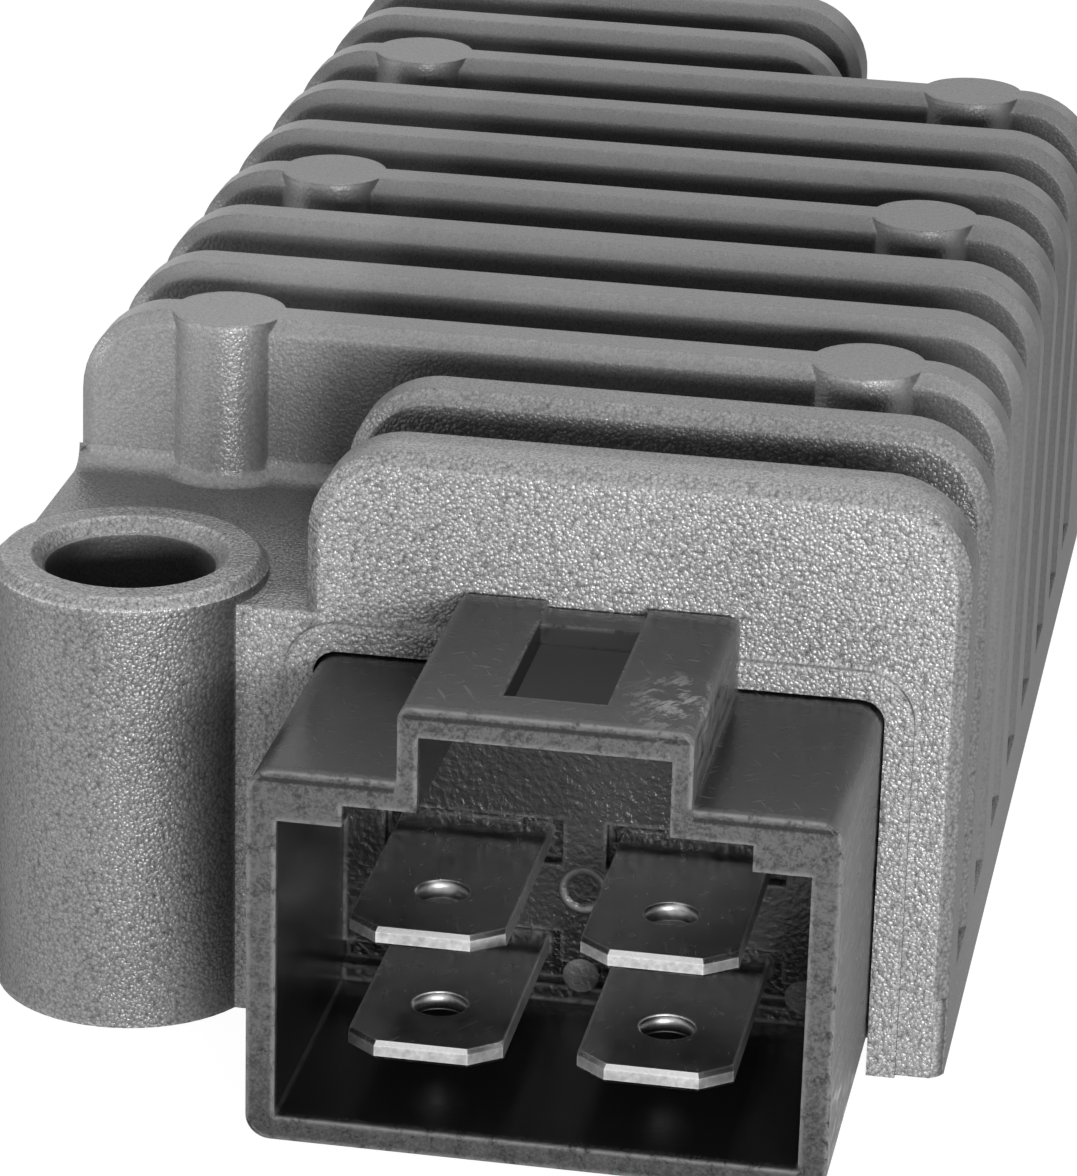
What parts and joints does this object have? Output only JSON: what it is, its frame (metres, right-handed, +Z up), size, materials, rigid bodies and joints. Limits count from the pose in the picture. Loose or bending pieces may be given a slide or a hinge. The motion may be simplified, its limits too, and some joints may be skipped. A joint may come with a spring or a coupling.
{
  "type": "voltage regulator rectifier",
  "caption": "Finned die-cast voltage regulator rectifier with two mounting bosses, a blade connector in its front wall and resin-potted electronics underneath.",
  "frame": {"origin": "centre of the footprint, connector included, on the flat base", "axes": "+Z up from the base to the fin tops, -Y out of the connector, +X to the right seen from the connector's side"},
  "size_m": [0.0412, 0.0908, 0.0253],
  "materials": {
    "cast_aluminium": "grainy die cast",
    "black_plastic": "semi gloss, worn at the rim",
    "tinned_brass": "satin tin plate",
    "resin": "cast resin",
    "board": "satin",
    "device_plastic": "matt",
    "insulator": "matt",
    "steel": "zinc plated",
    "capacitor_sleeve": "satin",
    "resistor_body": "satin"
  },
  "bodies": {
    "root": {"heat_sink": "cast_aluminium", "connector_shell": "black_plastic", "terminal_top_left": "tinned_brass", "terminal_top_right": "tinned_brass", "terminal_bottom_left": "tinned_brass", "terminal_bottom_right": "tinned_brass", "potting_compound": "resin", "circuit_board": "board", "battery_thyristor": "device_plastic", "lighting_thyristor": "device_plastic", "battery_insulator": "insulator", "lighting_insulator": "insulator", "battery_clamp_screw": "steel", "lighting_clamp_screw": "steel", "smoothing_capacitor": "capacitor_sleeve", "zener_diode": "device_plastic", "rectifier_diode": "device_plastic", "gate_resistor": "resistor_body", "sense_resistor": "resistor_body", "bias_resistor": "resistor_body", "bleed_resistor": "resistor_body", "driver_transistor": "device_plastic"}
  },
  "joints": []
}
